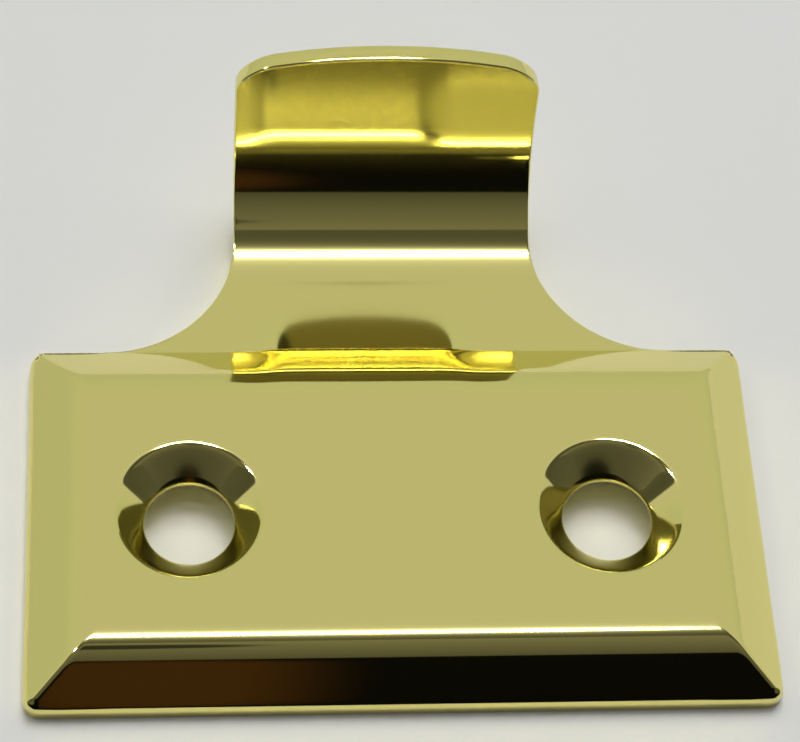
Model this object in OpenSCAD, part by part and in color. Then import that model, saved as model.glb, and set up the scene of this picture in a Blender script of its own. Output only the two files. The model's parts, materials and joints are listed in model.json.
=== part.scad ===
// Hook sash lift, pressed from one piece of brass sheet.
// A shallow plate with bevelled sides holds two countersunk screw holes. A strip runs
// from the top of the plate and curls forward into a hook for the fingers.
// The origin is on the back plane, in the middle of the crease between plate and strip.
// +Z points out of the face, towards the user, and +Y runs from the crease to the hook.

/* [Plate] */
// Width of the plate across both screw holes
plate_w = 41.3; // [38:0.1:46]
// Height of the plate, from its lower edge to the crease
plate_h = 22.4; // [21:0.1:26]
// Height of the flat face above the back plane
face_z = 3.6; // [3.4:0.1:4.2]
// Thickness of the brass sheet
sheet_t = 1.2; // [1:0.1:1.3]
// Height of the upright rim at the ends and along the lower edge
rim_h = 0.8; // [0.7:0.1:1]
// Width of the bevel at each end
end_bevel = 3.1; // [2.8:0.1:3.6]
// Width of the bevel along the lower edge
low_bevel = 2.9; // [2.7:0.1:3.4]
// Width of the bevel beside the crease
top_bevel = 3.6; // [3.2:0.1:4]
// Radius of the fold between the face and a bevel
fold_r = 2.4; // [1.8:0.1:2.8]
// Radius of the plate's corners, seen from the front
corner_r = 0.9; // [0.6:0.1:1.4]

/* [Screw holes] */
// Distance between the two holes
hole_spacing = 23.3; // [21:0.1:25]
// Distance from the crease down to the line of the holes
hole_drop = 11.7; // [11.2:0.1:12]
// Diameter of each hole
hole_d = 5; // [4.5:0.1:5.2]
// Diameter of each countersink at the face
countersink_d = 8.2; // [7.8:0.1:8.4]

/* [Hook] */
// Width of the strip that makes the hook
strip_w = 17.6; // [15:0.1:19]
// Radius of the fillets where the strip joins the plate
fillet_r = 7.8; // [6:0.1:9]
// Length of flat strip between the crease and the bend
flat_len = 5.1; // [3:0.1:6]
// Radius of the bend, on its hollow side
bend_r = 5.1; // [4.5:0.1:7]
// Angle that the bend turns through
bend_angle = 51; // [40:1:56]
// Radius of the lip, on its hollow side
lip_r = 11.9; // [10:0.1:16]
// Angle of the lip's end, from the back plane
lip_angle = 80; // [72:1:86]
// Length of straight sheet at the end of the lip
tip_len = 4.4; // [3:0.1:5]
// Radius of the lip's two corners
lip_corner_r = 2.8; // [2:0.1:4]
// Radius of the arched end of the lip
lip_arch_r = 32; // [26:1:45]

/* [Hidden] */
brass = [0.78, 0.71, 0.38];
$fn = 96;
fold_steps = 6;
bend_steps = 12;
rim_edge_r = 0.3;
countersink_depth = (countersink_d - hole_d) / 2;
bore_top = face_z - countersink_depth;
bore_bottom = bore_top - sheet_t;
// Wall of a 45 degree cone, measured level
cone_wall = sheet_t * sqrt(2);
// Room that each cutting or trimming shape has past the part
clear = 5;

function unit(v) = v / norm(v);
function signed_turn(a) = a > 180 ? a - 360 : a < -180 ? a + 360 : a;

// Arc of radius r that rounds the corner b of the path a, b, c
function corner_arc(a, b, c, r) =
    let (
        u = unit(a - b),
        w = unit(c - b),
        half = acos(u * w) / 2,
        centre = b + unit(u + w) * r / sin(half),
        start = b + u * r / tan(half) - centre,
        finish = b + w * r / tan(half) - centre,
        from = atan2(start.y, start.x),
        turn = signed_turn(atan2(finish.y, finish.x) - from)
    )
    [for (i = [0 : fold_steps])
        let (angle = from + turn * i / fold_steps)
        centre + r * [cos(angle), sin(angle)]];

// Closed outline with each corner rounded to its own radius, where 0 keeps it sharp
function rounded(corners, radii) =
    let (n = len(corners))
    [for (i = [0 : n - 1])
        each radii[i] > 0
            ? corner_arc(corners[(i + n - 1) % n], corners[i], corners[(i + 1) % n], radii[i])
            : [corners[i]]];

// Unit normal on the left of the line from a to b
function left_normal(a, b) = let (d = unit(b - a)) [-d.y, d.x];

// The corners of an open path, moved to its right by a distance
function inset(path, distance) =
    [for (i = [0 : len(path) - 1])
        let (
            before = left_normal(path[max(i - 1, 0)], path[max(i, 1)]),
            after = left_normal(path[min(i, len(path) - 2)], path[min(i + 1, len(path) - 1)])
        )
        path[i] - distance * (before + after) / (1 + before * after)];

// Section of the plate's outer skin: rim, bevel, face, bevel and rim, left to right
function skin_path(left, right, left_rim, right_rim, left_bevel, right_bevel) = [
    [left, 0],
    [left, left_rim],
    [left + left_bevel, face_z],
    [right - right_bevel, face_z],
    [right, right_rim],
    [right, 0]
];

module skin_section(path, fold, edge) {
    polygon(rounded(path, [0, edge, fold, fold, edge, 0]));
}

// The plate as a solid whose skin is moved inwards by a distance
module plate_solid(distance) {
    end_path = skin_path(-plate_w / 2, plate_w / 2, rim_h, rim_h, end_bevel, end_bevel);
    side_path = skin_path(-plate_h, 0, rim_h, sheet_t, low_bevel, top_bevel);
    fold = fold_r - distance;
    edge = distance > 0 ? 0 : rim_edge_r;
    intersection() {
        rotate([90, 0, 0])
            linear_extrude(plate_h + clear)
                skin_section(inset(end_path, distance), fold, edge);
        rotate([90, 0, 90])
            linear_extrude(plate_w + clear, center = true)
                skin_section(inset(side_path, distance), fold, 0);
        linear_extrude(face_z + clear)
            plate_outline(distance);
    }
}

module plate_outline(distance) {
    x = plate_w / 2 - distance;
    low = distance - plate_h;
    r = max(corner_r - distance, rim_edge_r);
    polygon(rounded([[-x, low], [-x, -distance], [x, -distance], [x, low]], [r, r, r, r]));
}

// Places its children at both screw holes
module at_holes() {
    for (side = [-1, 1])
        translate([side * hole_spacing / 2, -hole_drop, 0])
            children();
}

// Sheet pushed back round a hole, before the countersink is cut
module dimple() {
    rim_r = hole_d / 2 + cone_wall;
    rise = face_z - sheet_t / 2 - bore_bottom;
    translate([0, 0, bore_bottom])
        cylinder(h = rise, r1 = rim_r - sheet_t, r2 = rim_r - sheet_t + rise);
}

// Round cutter for the bore and its 90 degree countersink
module countersink() {
    rotate_extrude()
        polygon([
            [0, bore_bottom - clear],
            [hole_d / 2, bore_bottom - clear],
            [hole_d / 2, bore_top],
            [countersink_d / 2 + clear, face_z + clear],
            [0, face_z + clear]
        ]);
}

module plate() {
    difference() {
        union() {
            difference() {
                plate_solid(0);
                plate_solid(sheet_t);
            }
            at_holes() dimple();
        }
        at_holes() countersink();
    }
}

// Stations along the hollow side of the hook, each with its y, z and slope
function arc_stations(start, r, from, to) =
    [for (i = [0 : bend_steps])
        let (a = from + (to - from) * i / bend_steps)
        [start.x + r * (sin(a) - sin(from)), start.y + r * (cos(from) - cos(a)), a]];

bend = arc_stations([flat_len, sheet_t], bend_r, 0, bend_angle);
bend_end = bend[bend_steps];
lip = arc_stations(bend_end, lip_r, bend_angle, lip_angle);
lip_end = lip[bend_steps];
tip = [
    lip_end.x + tip_len * cos(lip_angle),
    lip_end.y + tip_len * sin(lip_angle),
    lip_angle
];
hook_reach = tip.x + sheet_t;
under_crease = [-sheet_t / 2, sheet_t, 0];
hook_stations = concat([under_crease], bend, tail(lip), [tip]);

function tail(list) = [for (i = [1 : len(list) - 1]) list[i]];
function front_point(station) = [station.x, station.y];
function back_point(station) =
    front_point(station) + sheet_t * [sin(station.z), -cos(station.z)];

// Side section of the strip, from under the crease to the end of the lip
module hook_section() {
    last = len(hook_stations) - 1;
    polygon(concat(
        [for (i = [0 : last]) front_point(hook_stations[i])],
        [for (i = [last : -1 : 0]) back_point(hook_stations[i])]
    ));
}

// Strip seen from the front, with its fillets
module strip_outline() {
    half = strip_w / 2;
    translate([-half, -sheet_t])
        square([strip_w, hook_reach + clear]);
    difference() {
        translate([-half - fillet_r, -sheet_t])
            square([strip_w + 2 * fillet_r, fillet_r + sheet_t]);
        for (side = [-1, 1])
            translate([side * (half + fillet_r), fillet_r])
                circle(r = fillet_r);
    }
}

// Lip seen along the back plane, with its arched end and round corners
module lip_outline() {
    half = strip_w / 2 + fillet_r;
    intersection() {
        union() {
            square([2 * half, 2 * bend_end.y], center = true);
            translate([-strip_w / 2, 0])
                polygon(rounded(
                    [[0, 0], [0, tip.y], [strip_w, tip.y], [strip_w, 0]],
                    [0, lip_corner_r, lip_corner_r, 0]
                ));
        }
        translate([0, tip.y - lip_arch_r])
            circle(r = lip_arch_r);
    }
}

module hook() {
    intersection() {
        rotate([90, 0, 90])
            linear_extrude(plate_w, center = true)
                hook_section();
        linear_extrude(tip.y + clear)
            strip_outline();
        rotate([90, 0, 0])
            linear_extrude(2 * (hook_reach + clear), center = true)
                lip_outline();
    }
}

module sash_lift() {
    color(brass)
        union() {
            plate();
            hook();
        }
}

sash_lift();
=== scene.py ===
"""Looks of the hook sash lift: its pressed sheet, its lacquered brass, and a plain studio."""

import json
import math

import bpy
import numpy as np
from mathutils import Matrix, Vector


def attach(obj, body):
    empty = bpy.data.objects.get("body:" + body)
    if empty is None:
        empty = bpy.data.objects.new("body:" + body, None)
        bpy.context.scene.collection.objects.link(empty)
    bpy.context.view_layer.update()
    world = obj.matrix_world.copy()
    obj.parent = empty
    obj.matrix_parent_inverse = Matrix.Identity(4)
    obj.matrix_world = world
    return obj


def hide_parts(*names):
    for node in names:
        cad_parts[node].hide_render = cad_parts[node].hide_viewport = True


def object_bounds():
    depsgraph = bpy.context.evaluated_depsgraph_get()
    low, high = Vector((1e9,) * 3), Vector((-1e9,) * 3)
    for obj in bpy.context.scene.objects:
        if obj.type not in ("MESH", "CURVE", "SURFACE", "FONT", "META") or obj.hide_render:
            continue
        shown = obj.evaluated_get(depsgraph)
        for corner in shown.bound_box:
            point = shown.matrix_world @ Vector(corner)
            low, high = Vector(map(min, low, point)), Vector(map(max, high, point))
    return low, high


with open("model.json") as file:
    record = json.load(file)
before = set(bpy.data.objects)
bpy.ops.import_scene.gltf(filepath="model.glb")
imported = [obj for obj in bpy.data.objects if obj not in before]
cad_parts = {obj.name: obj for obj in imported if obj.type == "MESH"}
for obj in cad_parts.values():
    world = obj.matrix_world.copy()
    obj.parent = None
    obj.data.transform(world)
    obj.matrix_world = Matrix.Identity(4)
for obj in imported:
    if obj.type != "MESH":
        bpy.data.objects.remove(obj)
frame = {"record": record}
cad_low, cad_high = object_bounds()

MM = 0.001

# ---------------------------------------------------------------- sizes, in millimetres

HOLES = next(m for m in frame["record"]["mounts"] if m["kind"] == "bolt_pattern")
HALF_W = cad_high.x / MM
PLATE_H = -cad_low.y / MM
HOLE_X = HOLES["dims"]["spacing_x_mm"] / 2
HOLE_Y = HOLES["pos_m"][1] / MM
HOLE_R = HOLES["dims"]["hole_r_mm"]

FACE_Z = 3.6
SHEET_T = 1.05
RIM_H = 0.8
END_BEVEL = 3.1
LOW_BEVEL = 2.54
TOP_BEVEL = 3.3
END_FOLD_R = 2.6
LOW_FOLD_R = 2.7
TOP_FOLD_R = 4.0
STRIP_Z = 0.93
CORNER_R = 0.9
CORNER_REACH = 2.2
MITRE_SOFTNESS = 0.25
RIM_EDGE = 0.32
CUT_EDGE = 0.14

COUNTERSINK_BLOCK = 4.6
# Width of the band of the back skin that holds the rim, the wall and the slope
BACK_BAND = 4.6
RIM_CELL = 0.45

STRIP_HALF = 8.8
FILLET_R = 7.8
FLAT_LEN = 4.9
# The hook's arcs from the flat strip to its end: radius, and slope where the arc ends
HOOK_ARCS = [(6.25, math.radians(55)), (10.0, math.radians(76.5)), (34.0, math.radians(86))]
TIP_CORNER_R = 2.3
TIP_CORNER_REACH = 4.2
TIP_ARCH_R = 32
TIP_ARCH_REACH = 7.0
FILLET_ROWS = 60
HOOK_STEP = 0.13
TIP_CELL = 0.25

# The strip rises a little towards the crease, most of all in its middle
DISH_LEN = 4.2
DISH_SLOPE = math.radians(9)
DISH_X = -1.4
DISH_HALF = 5.6
DISH_FADE = 0.8
CREASE_SLOPE = math.radians(3.6)
CREASE_LEN = 1.2


# ---------------------------------------------------------------- mesh helpers

def lines(stops, steps):
    """Grid lines through every stop, with about the given step in each span."""
    found = [stops[0]]
    for low, high, step in zip(stops, stops[1:], steps):
        count = max(1, round(abs(high - low) / step))
        found.extend(low + (high - low) * k / count for k in range(1, count + 1))
    return np.array(found)


def mitred(a, b):
    """The lower of two skins, rounded where they meet, but never below a level face."""
    softness = MITRE_SOFTNESS * np.clip((FACE_Z - np.minimum(a, b)) / 0.6, 1e-6, 1)
    share = np.clip(0.5 + 0.5 * (b - a) / softness, 0, 1)
    return b + (a - b) * share - softness * share * (1 - share)


def fold_height(d, rim, width, radius):
    """Height of a bevel at a distance d in from its edge: a straight slope, then a round fold."""
    slope = np.arctan2(FACE_Z - rim, width)
    tangent = radius * np.tan(slope / 2)
    high = width + tangent
    low = width - tangent * np.cos(slope)
    arc = FACE_Z - radius + np.sqrt(np.maximum(radius**2 - (high - d) ** 2, 0))
    return np.where(d < low, rim + d * np.tan(slope), np.where(d < high, arc, FACE_Z))


def round_corner(points, corner, inward, radius, reach):
    """Moves the points near a square corner so that the corner becomes round."""
    inner = (points - corner) * inward
    a = np.clip(1 - inner[..., 0] / reach, 0, 1)
    b = np.clip(1 - inner[..., 1] / reach, 0, 1)
    m = np.maximum(np.maximum(a, b), 1e-9)
    ax, by = a / m, b / m
    rho = radius / reach
    c = 1 - rho
    near = (ax + by) * c
    size = ax**2 + by**2
    reach_out = (near + np.sqrt(np.maximum(near**2 - size * (2 * c**2 - rho**2), 0))) / size
    factor = np.where(np.minimum(ax, by) > c, 1 + (reach_out - 1) * m**2, 1)
    moved = corner + inward * reach * (1 - np.stack([a * factor, b * factor], -1))
    inside = (a > 0) & (b > 0)
    return np.where(inside[..., None], moved, points)


def unit(v):
    return v / np.maximum(np.linalg.norm(v, axis=-1, keepdims=True), 1e-12)


class Sheet:
    """Collects vertices and faces of one closed mesh."""

    def __init__(self):
        self.points = []
        self.faces = []

    def add(self, points):
        first = len(self.points)
        self.points.extend(np.asarray(points, float).reshape(-1, 3))
        return np.arange(first, len(self.points)).reshape(np.shape(points)[:-1])

    def grid(self, ids, flip=False):
        for low, high in zip(ids, ids[1:]):
            for k in range(len(low) - 1):
                face = (low[k], low[k + 1], high[k + 1], high[k])
                self.faces.append(face[::-1] if flip else face)

    def band(self, low, high, flip=False):
        """Faces between two closed loops."""
        self.grid([list(low) + [low[0]], list(high) + [high[0]]], flip)


# ---------------------------------------------------------------- plate and strip: shared grid

JOIN_X = STRIP_HALF + FILLET_R
BLOCK = COUNTERSINK_BLOCK
X_STOPS = [0, HOLE_X - BLOCK, HOLE_X + BLOCK, JOIN_X, HALF_W - RIM_CELL, HALF_W]
X_STEPS = [0.24, 0.23, 0.35, 0.11, RIM_CELL]
right = lines(X_STOPS, X_STEPS)
x_lines = np.concatenate([-right[:0:-1], right])
Y_STOPS = [
    -PLATE_H,
    RIM_CELL - PLATE_H,
    4.0 - PLATE_H,
    HOLE_Y - BLOCK,
    HOLE_Y + BLOCK,
    -BACK_BAND,
    -0.3,
    0,
]
Y_STEPS = [RIM_CELL, 0.11, 0.24, 0.23, 0.24, 0.11, 0.06]
y_lines = lines(Y_STOPS, Y_STEPS)


def index_of(grid, value):
    return int(np.argmin(np.abs(grid - value)))


def strip_rise(x, y):
    """How far the strip's front stands above its flat level near the crease."""
    dish = DISH_SLOPE * DISH_LEN / 2 * np.clip(1 - y / DISH_LEN, 0, 1) ** 2
    window = 0.5 - 0.5 * np.tanh((np.abs(x - DISH_X) - DISH_HALF) / DISH_FADE)
    crease = CREASE_SLOPE * CREASE_LEN * np.exp(-np.maximum(y, 0) / CREASE_LEN)
    return dish * window + crease


def plate_height(x, y):
    """Height of the front skin of the plate."""
    end = fold_height(HALF_W - np.abs(x), RIM_H, END_BEVEL, END_FOLD_R)
    low = fold_height(y + PLATE_H, RIM_H, LOW_BEVEL, LOW_FOLD_R)
    top = fold_height(-y, STRIP_Z + strip_rise(x, 0), TOP_BEVEL, TOP_FOLD_R)
    return mitred(mitred(end, low), top)


def round_plate(points, radius):
    """Rounds the four corners of the plate."""
    for sx in (-1, 1):
        for y, sy in ((-PLATE_H, 1), (0, -1)):
            corner = np.array([sx * HALF_W, y])
            points = round_corner(points, corner, np.array([-sx, sy]), radius, CORNER_REACH)
    return points


def plate_front():
    x, y = np.meshgrid(x_lines, y_lines)
    plan = round_plate(np.stack([x, y], -1), CORNER_R)
    return np.dstack([plan, plate_height(plan[..., 0], plan[..., 1])])


def pocket_line(d, rim, width):
    """Path of the back skin in from an edge: level rim, steep wall, slope, level pocket."""
    slope = math.atan2(FACE_Z - rim, width)
    wall = SHEET_T
    top = FACE_Z - SHEET_T
    foot = rim + wall * math.tan(slope) - SHEET_T / math.cos(slope)
    run = (top - foot) / math.tan(slope)
    knots = np.array([0, 0.35, 0.42, 0.9, 1.0])
    across = np.array([0, wall, wall + 0.05, wall + 0.05 + run, BACK_BAND])
    height = np.array([0, 0, foot, top, top])
    share = d / BACK_BAND
    return np.interp(share, knots, across), np.interp(share, knots, height)


def plate_back():
    d_end = HALF_W - np.abs(x_lines)
    end_in, end_z = pocket_line(np.minimum(d_end, BACK_BAND), RIM_H, END_BEVEL)
    x = np.sign(x_lines) * (HALF_W - np.where(d_end < BACK_BAND, end_in, d_end))
    d_low = y_lines + PLATE_H
    low_in, low_z = pocket_line(np.minimum(d_low, BACK_BAND), RIM_H, LOW_BEVEL)
    d_top = -y_lines
    top_in, top_z = pocket_line(np.minimum(d_top, BACK_BAND), STRIP_Z, TOP_BEVEL)
    upper = np.where(d_top < BACK_BAND, -top_in, y_lines)
    y = np.where(d_low < BACK_BAND, low_in - PLATE_H, upper)
    gx, gy = np.meshgrid(x, y)
    z = np.minimum(np.minimum(end_z[None, :], low_z[:, None]), top_z[:, None])
    return np.dstack([round_plate(np.stack([gx, gy], -1), CORNER_R), z])


def hook_line():
    """Fine stations up the middle of the hook's front: run, y, z and slope."""
    run = [0, FLAT_LEN]
    slope = [0, 0]
    for radius, end in HOOK_ARCS:
        run.append(run[-1] + radius * (end - slope[-1]))
        slope.append(end)
    s = np.linspace(0, run[-1], 4001)
    middle = np.interp((s[1:] + s[:-1]) / 2, run, slope)
    step = s[1]
    y = np.concatenate([[0], np.cumsum(step * np.cos(middle))])
    z = STRIP_Z + np.concatenate([[0], np.cumsum(step * np.sin(middle))])
    return s, y, z, np.interp(s, run, slope)


def strip_runs(s, y):
    """Run of each row of the strip's grid: by fillet angle first, then evenly."""
    turn = np.linspace(0, math.pi / 2, FILLET_ROWS + 1)[1:]
    in_fillet = np.interp(FILLET_R * (1 - np.cos(turn)), y, s)
    last = s[-1] - TIP_CELL
    rows = round((last - in_fillet[-1]) / HOOK_STEP)
    return np.concatenate([in_fillet, np.linspace(in_fillet[-1], last, rows + 1)[1:], [s[-1]]])


def strip_half_width(y):
    """Half the width of the strip, wider towards the crease by its fillets."""
    rise = np.clip(FILLET_R - y, 0, FILLET_R)
    return STRIP_HALF + FILLET_R - np.sqrt(FILLET_R**2 - rise**2)


def strip_surfaces(columns):
    """Front and back of the strip and hook, one row of points for each station."""
    line, line_y, line_z, line_slope = hook_line()
    run = strip_runs(line, line_y)
    half = strip_half_width(np.interp(run, line, line_y))
    x = half[:, None] * (columns / JOIN_X)[None, :]
    plan = np.stack([x, np.repeat(run[:, None], len(columns), 1)], -1)
    for side in (-1, 1):
        corner = np.array([side * STRIP_HALF, run[-1]])
        inward = np.array([-side, -1])
        plan = round_corner(plan, corner, inward, TIP_CORNER_R, TIP_CORNER_REACH)
    x, s = plan[..., 0], plan[..., 1]
    share = np.clip(1 - (run[-1] - s) / TIP_ARCH_REACH, 0, 1)
    s = s - (TIP_ARCH_R - np.sqrt(TIP_ARCH_R**2 - x**2)) * share**2
    y = np.interp(s, line, line_y)
    slope = np.interp(s, line, line_slope)
    z = np.interp(s, line, line_z) + strip_rise(x, y)
    front = np.stack([x, y, z], -1)
    back = front + SHEET_T * np.stack([np.zeros_like(x), np.sin(slope), -np.cos(slope)], -1)
    back[..., 2] = np.maximum(back[..., 2], 0)
    return front, back


def boundary(plate, strip, join):
    """The outline's vertices in order, anticlockwise from the lower left corner."""
    first, last = join
    loop = list(plate[0])
    loop += list(plate[1:, -1])
    loop += list(plate[-1, last:-1][::-1])
    loop += list(strip[:, -1])
    loop += list(strip[-1, :-1][::-1])
    loop += list(strip[:-1, 0][::-1])
    loop += list(plate[-1, 1:first + 1][::-1])
    loop += list(plate[1:, 0][::-1])
    return loop


def edge_rows(edge, inward, down, size, steps):
    """Rows of points that round an edge, from the surface (inward) to the wall (down)."""
    start, finish = edge + inward * size, edge + down * size
    rows = []
    for k in range(steps + 1):
        t = k / steps
        rows.append((1 - t) ** 2 * start + 2 * t * (1 - t) * edge + t**2 * finish)
    return rows


# ---------------------------------------------------------------- screw holes

def hole_profile():
    """Radius and height from the face, over the rim and down the cone, to the back."""
    rim = [(4.45, 0), (4.33, 0.006), (4.22, 0.03), (4.12, 0.075), (4.02, 0.145), (3.93, 0.225)]
    cone = [(3.7, 0.452), (3.4, 0.75), (3.1, 1.05), (2.8, 1.35), (2.6, 1.55)]
    lip = [(2.535, 1.63), (HOLE_R, 1.71), (HOLE_R, 1.82), (2.53, 1.9), (2.62, 1.96)]
    back = [(2.9, 2.24), (3.16, 2.5), (3.26, 2.53), (3.36, 2.49), (3.9, 1.95), (4.4, 1.45)]
    rest = [(4.52, 1.33), (4.56, SHEET_T)]
    return [(r, FACE_Z - depth) for r, depth in rim + cone + lip + back + rest]


def square_loop(ids, rows, columns):
    """Vertices round a square block of a grid, anticlockwise."""
    (r0, r1), (c0, c1) = rows, columns
    loop = list(ids[r0, c0:c1]) + list(ids[r0:r1, c1])
    loop += list(ids[r1, c0 + 1:c1 + 1][::-1]) + list(ids[r0 + 1:r1 + 1, c0][::-1])
    return loop


def fill_block(sheet, ids, skip, flip):
    """Faces of a grid, apart from those inside the blocks in skip."""
    rows, columns = ids.shape
    for r in range(rows - 1):
        for c in range(columns - 1):
            if any(a <= r < b and p <= c < q for (a, b), (p, q) in skip):
                continue
            face = (ids[r, c], ids[r, c + 1], ids[r + 1, c + 1], ids[r + 1, c])
            sheet.faces.append(face[::-1] if flip else face)


def countersunk_hole(sheet, front_loop, back_loop, centre):
    """Joins the front to the back round one hole: flat rings, countersink, bore and back."""
    profile = hole_profile()
    at = np.array([sheet.points[k][:2] for k in front_loop]) - centre
    angle = np.arctan2(at[:, 1], at[:, 0])
    around = np.stack([np.cos(angle), np.sin(angle)], -1)
    last = front_loop
    for share in (0.35, 0.7):
        plan = at * (1 - share) + around * profile[0][0] * share
        ring = np.column_stack([plan + centre, np.full(len(at), FACE_Z)])
        ids = sheet.add(ring)
        sheet.band(last, ids)
        last = ids
    for r, z in profile:
        ids = sheet.add(np.column_stack([around * r + centre, np.full(len(at), z)]))
        sheet.band(last, ids)
        last = ids
    sheet.band(last, back_loop)


# ---------------------------------------------------------------- the whole sheet

def sash_lift_mesh():
    sheet = Sheet()
    join = (index_of(x_lines, -JOIN_X), index_of(x_lines, JOIN_X))
    columns = x_lines[join[0]:join[1] + 1]
    front, back = plate_front(), plate_back()
    strip_front, strip_back = strip_surfaces(columns)
    front_ids, back_ids = sheet.add(front), sheet.add(back)
    strip_front_ids, strip_back_ids = sheet.add(strip_front), sheet.add(strip_back)

    block_rows = (index_of(y_lines, HOLE_Y - BLOCK), index_of(y_lines, HOLE_Y + BLOCK))
    blocks = []
    for side in (-1, 1):
        ends = sorted((side * (HOLE_X - BLOCK), side * (HOLE_X + BLOCK)))
        blocks.append((block_rows, tuple(index_of(x_lines, e) for e in ends)))
    fill_block(sheet, front_ids, blocks, False)
    fill_block(sheet, back_ids, blocks, True)
    for side, (rows, cols) in zip((-1, 1), blocks):
        countersunk_hole(
            sheet,
            square_loop(front_ids, rows, cols),
            square_loop(back_ids, rows, cols),
            np.array([side * HOLE_X, HOLE_Y]),
        )

    seam_front = front_ids[-1, join[0]:join[1] + 1]
    seam_back = back_ids[-1, join[0]:join[1] + 1]
    sheet.grid(np.vstack([seam_front, strip_front_ids]))
    sheet.grid(np.vstack([seam_back, strip_back_ids]), True)

    outer = boundary(front_ids, strip_front_ids, join)
    under = boundary(back_ids, strip_back_ids, join)
    build_edges(sheet, outer, under, (front_ids, strip_front_ids), join)
    return sheet


def inner_neighbours(plate, strip, join):
    """For each vertex of the outline, the next vertex in from the edge."""
    first, last = join
    loop = list(plate[1])
    loop[0], loop[-1] = plate[1, 1], plate[1, -2]
    loop += list(plate[1:-1, -2]) + [plate[-2, -2]]
    loop += list(plate[-2, last:-1][::-1])
    loop += list(strip[:-1, -2]) + [strip[-2, -2]]
    loop += list(strip[-2, 1:-1][::-1]) + [strip[-2, 1]]
    loop += list(strip[:-1, 1][::-1])
    loop += list(plate[-2, 1:first + 1][::-1])
    loop += [plate[-2, 1]] + list(plate[1:-1, 1][::-1])
    return loop


def build_edges(sheet, outer, under, fronts, join):
    """The upright wall round the sheet, with rounded edges above and below."""
    points = np.array(sheet.points)
    edge, foot = points[outer].copy(), points[under].copy()
    ahead = unit(np.roll(edge, -1, 0) - np.roll(edge, 1, 0))
    inner = points[inner_neighbours(*fronts, join)]
    raw = inner - edge
    inward = unit(raw - ahead * (raw * ahead).sum(-1, keepdims=True))
    down = unit(foot - edge)
    height = np.linalg.norm(foot - edge, axis=-1, keepdims=True)
    on_plate = np.array([p[1] < 1e-6 for p in edge])[:, None]
    size = np.where(on_plate, RIM_EDGE, CUT_EDGE)
    window = 9
    size = sum(np.roll(size, k, 0) for k in range(-window, window + 1)) / (2 * window + 1)
    level = unit(inward * [1, 1, 0])
    back_in = np.where(edge[:, 1:2] > FLAT_LEN, inward, level)
    rows = edge_rows(edge, inward, down, size, 6)
    low = edge_rows(foot, back_in, -down, np.minimum(CUT_EDGE, height / 4), 4)[::-1]
    for k, p in zip(outer, rows[0]):
        sheet.points[k] = p
    for k, p in zip(under, low[-1]):
        sheet.points[k] = p
    last = outer
    for row in rows[1:] + low[:-1]:
        ids = sheet.add(row)
        sheet.band(ids, last)
        last = ids
    sheet.band(under, last)


def mesh_object(name, sheet):
    mesh = bpy.data.meshes.new(name)
    points = [tuple(p * MM) for p in sheet.points]
    faces = [tuple(map(int, f)) for f in sheet.faces]
    mesh.from_pydata(points, [], faces)
    mesh.validate()
    mesh.update()
    mesh.polygons.foreach_set("use_smooth", [True] * len(mesh.polygons))
    obj = bpy.data.objects.new(name, mesh)
    bpy.context.scene.collection.objects.link(obj)
    return obj


# ---------------------------------------------------------------- materials

def new_material(name):
    material = bpy.data.materials.new(name)
    material.use_nodes = True
    nodes = material.node_tree.nodes
    nodes.clear()
    output = nodes.new("ShaderNodeOutputMaterial")
    return material, nodes, material.node_tree.links, output


def brass_material():
    material, nodes, links, output = new_material("lacquered_brass")
    shader = nodes.new("ShaderNodeBsdfPrincipled")
    shader.inputs["Metallic"].default_value = 1.0
    shader.inputs["Base Color"].default_value = (0.82, 0.75, 0.27, 1)
    shader.inputs["Roughness"].default_value = 0.07
    links.new(shader.outputs[0], output.inputs["Surface"])
    return material


def floor_material():
    material, nodes, links, output = new_material("paper")
    shader = nodes.new("ShaderNodeBsdfPrincipled")
    shader.inputs["Base Color"].default_value = (0.8, 0.8, 0.8, 1)
    shader.inputs["Roughness"].default_value = 0.9
    links.new(shader.outputs[0], output.inputs["Surface"])
    return material


# ---------------------------------------------------------------- studio

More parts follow.
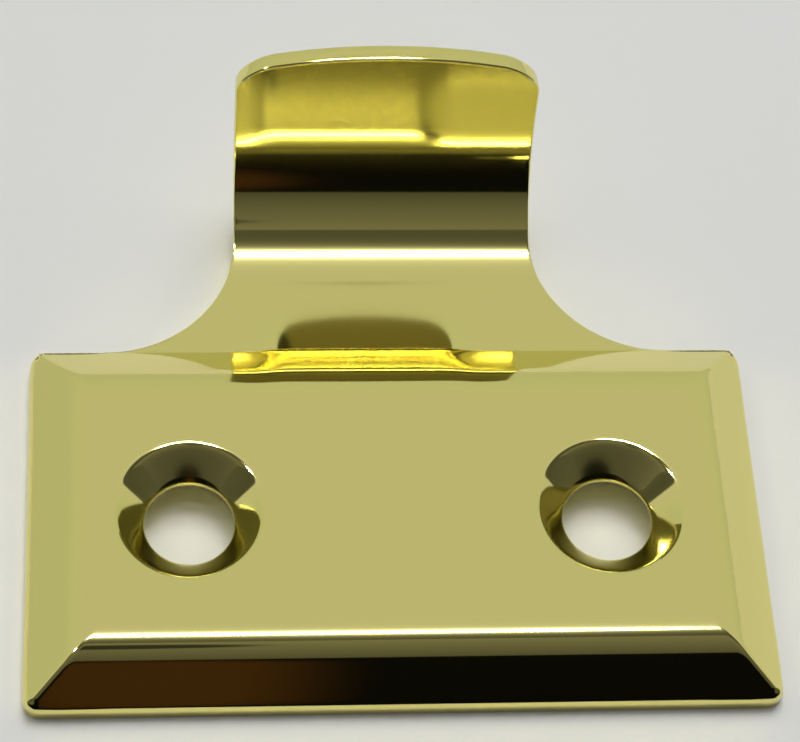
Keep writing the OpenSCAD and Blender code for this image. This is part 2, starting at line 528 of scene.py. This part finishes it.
def studio_world():
    """Room light: a pale ceiling and far walls, and a dark side behind the camera."""
    world = bpy.data.worlds.new("studio")
    world.use_nodes = True
    nodes, links = world.node_tree.nodes, world.node_tree.links
    nodes.clear()
    where = nodes.new("ShaderNodeTexCoord")
    split = nodes.new("ShaderNodeSeparateXYZ")
    links.new(where.outputs["Generated"], split.inputs[0])
    front = nodes.new("ShaderNodeMath")
    front.operation = "MULTIPLY"
    front.inputs[1].default_value = -1
    links.new(split.outputs["Y"], front.inputs[0])
    angle = nodes.new("ShaderNodeMath")
    angle.operation = "ARCTAN2"
    links.new(front.outputs[0], angle.inputs[0])
    links.new(split.outputs["Z"], angle.inputs[1])
    share = nodes.new("ShaderNodeMapRange")
    share.inputs["From Min"].default_value = -math.pi
    share.inputs["From Max"].default_value = math.pi
    links.new(angle.outputs[0], share.inputs["Value"])
    ramp = nodes.new("ShaderNodeValToRGB")
    links.new(share.outputs[0], ramp.inputs["Fac"])
    stops = [
        (-180, (0.5, 0.5, 0.5)),
        (-100, (0.55, 0.55, 0.54)),
        (-80, (0.55, 0.58, 0.52)),
        (-45, (0.60, 0.62, 0.56)),
        (-30, (0.60, 0.60, 0.58)),
        (-7, (0.62, 0.62, 0.62)),
        (-4, (0.09, 0.09, 0.08)),
        (14, (0.08, 0.08, 0.07)),
        (60, (0.10, 0.10, 0.09)),
        (82, (0.3, 0.3, 0.28)),
        (95, (0.5, 0.5, 0.5)),
    ]
    elements = ramp.color_ramp.elements
    while len(elements) < len(stops):
        elements.new(0.5)
    for element, (degrees, colour) in zip(elements, stops):
        element.position = (degrees + 180) / 360
    for element, (degrees, colour) in zip(elements, stops):
        element.color = (*colour, 1)
    background = nodes.new("ShaderNodeBackground")
    links.new(ramp.outputs["Color"], background.inputs["Color"])
    output = nodes.new("ShaderNodeOutputWorld")
    links.new(background.outputs[0], output.inputs["Surface"])
    bpy.context.scene.world = world


def lamp(name, at, size, watts, mirrored=True):
    light = bpy.data.lights.new(name, "AREA")
    light.shape = "RECTANGLE"
    light.size, light.size_y = size
    light.energy = watts
    obj = bpy.data.objects.new(name, light)
    obj.location = at
    obj.rotation_euler = (-Vector(at)).to_track_quat("-Z", "Y").to_euler()
    obj.visible_camera = False
    obj.visible_diffuse = not mirrored
    obj.visible_glossy = mirrored
    bpy.context.scene.collection.objects.link(obj)


def studio_lamps():
    """A row of small lamps and one to the left for the mirrors, and a soft lamp for the floor."""
    tilt = math.radians(LAMP_TILT)
    for k in range(-7, 9):
        at = (k * LAMP_STEP, -LAMP_AWAY * math.sin(tilt), LAMP_AWAY * math.cos(tilt))
        lamp(f"lamp_{k + 7:02d}", at, (0.02, 0.03), 3.0)
    lean = math.radians(38)
    lamp("soft_lamp", (0.1, 0.45, 0.8), (0.5, 0.5), 4.5, False)
    lamp("lamp_left", (-LAMP_AWAY * math.sin(lean), 0, LAMP_AWAY * math.cos(lean)), (0.12, 0.12), 12)


def card(name, centre, across, up, size, material):
    """A flat card that only mirrors show, with its middle, its axes and its width and height."""
    mesh = bpy.data.meshes.new(name)
    half_w, half_h = size[0] / 2, size[1] / 2
    corners = [(-half_w, -half_h, 0), (half_w, -half_h, 0), (half_w, half_h, 0), (-half_w, half_h, 0)]
    mesh.from_pydata(corners, [], [(0, 1, 2, 3)])
    mesh.materials.append(material)
    obj = bpy.data.objects.new(name, mesh)
    across, up = Vector(across).normalized(), Vector(up).normalized()
    turn = Matrix((across, up, across.cross(up))).transposed()
    obj.matrix_world = Matrix.Translation(centre) @ turn.to_4x4()
    obj.visible_camera = False
    obj.visible_diffuse = False
    obj.visible_shadow = False
    bpy.context.scene.collection.objects.link(obj)


def blob(nodes, links, centre, radii, soft):
    """Share from 1 inside an oval of the card to 0 outside it."""
    where = nodes.new("ShaderNodeTexCoord")
    shift = nodes.new("ShaderNodeVectorMath")
    shift.operation = "SUBTRACT"
    shift.inputs[1].default_value = (*centre, 0)
    links.new(where.outputs["Object"], shift.inputs[0])
    scale = nodes.new("ShaderNodeVectorMath")
    scale.operation = "DIVIDE"
    scale.inputs[1].default_value = (*radii, 1)
    links.new(shift.outputs[0], scale.inputs[0])
    length = nodes.new("ShaderNodeVectorMath")
    length.operation = "LENGTH"
    links.new(scale.outputs[0], length.inputs[0])
    share = nodes.new("ShaderNodeMapRange")
    share.interpolation_type = "SMOOTHSTEP"
    share.inputs["From Min"].default_value = 1 + soft
    share.inputs["From Max"].default_value = 1 - soft
    links.new(length.outputs["Value"], share.inputs["Value"])
    return share.outputs[0]


def glow_card_material(name, low, high, height, marks):
    """Light that fades from the card's lower edge to its upper edge, with oval marks on it."""
    material, nodes, links, output = new_material(name)
    where = nodes.new("ShaderNodeTexCoord")
    split = nodes.new("ShaderNodeSeparateXYZ")
    links.new(where.outputs["Object"], split.inputs[0])
    rise = nodes.new("ShaderNodeMapRange")
    rise.inputs["From Min"].default_value = -height / 2
    rise.inputs["From Max"].default_value = height / 2
    links.new(split.outputs["Y"], rise.inputs["Value"])
    colour = nodes.new("ShaderNodeMix")
    colour.data_type = "RGBA"
    colour.inputs[6].default_value = (*low, 1)
    colour.inputs[7].default_value = (*high, 1)
    links.new(rise.outputs[0], colour.inputs[0])
    for centre, radii, soft, tint in marks:
        mixed = nodes.new("ShaderNodeMix")
        mixed.data_type = "RGBA"
        mixed.inputs[7].default_value = (*tint, 1)
        links.new(blob(nodes, links, centre, radii, soft), mixed.inputs[0])
        links.new(colour.outputs[2], mixed.inputs[6])
        colour = mixed
    glow = nodes.new("ShaderNodeEmission")
    links.new(colour.outputs[2], glow.inputs["Color"])
    links.new(glow.outputs[0], output.inputs["Surface"])
    return material


def studio_cards():
    """What the brass mirrors on the viewer's side: a grey card above, and a dark one below."""
    up = Vector(CARD_UP)
    centre = Vector(CAMERA_AT) + up * (GREY_TOP - GREY_HEIGHT / 2)
    middle = GREY_HEIGHT / 2 - GREY_TOP
    grey = glow_card_material(
        "grey_card", (0.07, 0.07, 0.065), (0.20, 0.19, 0.17), GREY_HEIGHT,
        [((-0.006, middle), (0.017, 0.012), 0.15, (0.03, 0.03, 0.03))],
    )
    card("grey_card", centre, (1, 0, 0), up, (GREY_WIDTH, GREY_HEIGHT), grey)
    dark = glow_card_material(
        "dark_card", (0.002, 0.002, 0.002), (0.004, 0.004, 0.003), 0.045,
        [((-0.014, 0.004), (0.012, 0.014), 0.5, (0.05, 0.022, 0.008))],
    )
    card("dark_card", (0, -0.08, 0.0215), (1, 0, 0), (0, 0, 1), (0.7, 0.043), dark)


def studio_floor():
    """A large level sheet of plain paper."""
    mesh = bpy.data.meshes.new("floor")
    reach = 1.2
    corners = [(-reach, -reach, 0), (reach, -reach, 0), (reach, reach, 0), (-reach, reach, 0)]
    mesh.from_pydata(corners, [], [(0, 1, 2, 3)])
    floor = bpy.data.objects.new("floor", mesh)
    floor.data.materials.append(floor_material())
    bpy.context.scene.collection.objects.link(floor)


CAMERA_AT = (-0.013576, -0.080228, 0.130759)
CAMERA_AIM = (-0.001684, -0.000718, 0.0)
CAMERA_ROLL = math.radians(6.97)
CAMERA_LENS = 118.56
CAMERA_SHIFT_X = 0.0523
LAMP_AWAY = 1.5
LAMP_TILT = -1
LAMP_STEP = 0.035
GREY_TOP = 0.024
GREY_HEIGHT = 0.124
GREY_WIDTH = 0.4
CARD_UP = (0, 0.854, 0.52)


def studio_camera():
    """The camera, held over the lower left of the plate and a little rolled."""
    data = bpy.data.cameras.new("camera")
    data.lens = CAMERA_LENS
    data.sensor_width = 36
    data.shift_x = CAMERA_SHIFT_X
    data.clip_start = 0.01
    data.clip_end = 10
    camera = bpy.data.objects.new("camera", data)
    sight = Vector(CAMERA_AIM) - Vector(CAMERA_AT)
    turn = sight.to_track_quat("-Z", "Y").to_matrix() @ Matrix.Rotation(CAMERA_ROLL, 3, "Z")
    camera.matrix_world = Matrix.Translation(CAMERA_AT) @ turn.to_4x4()
    bpy.context.scene.collection.objects.link(camera)
    bpy.context.scene.camera = camera


# ---------------------------------------------------------------- build

piece = mesh_object("sash_lift_sheet", sash_lift_mesh())
piece.data.materials.append(brass_material())
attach(piece, "root")
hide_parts("sash_lift")

studio_floor()
studio_world()
studio_lamps()
studio_cards()
studio_camera()
bpy.context.scene.view_settings.view_transform = "Standard"
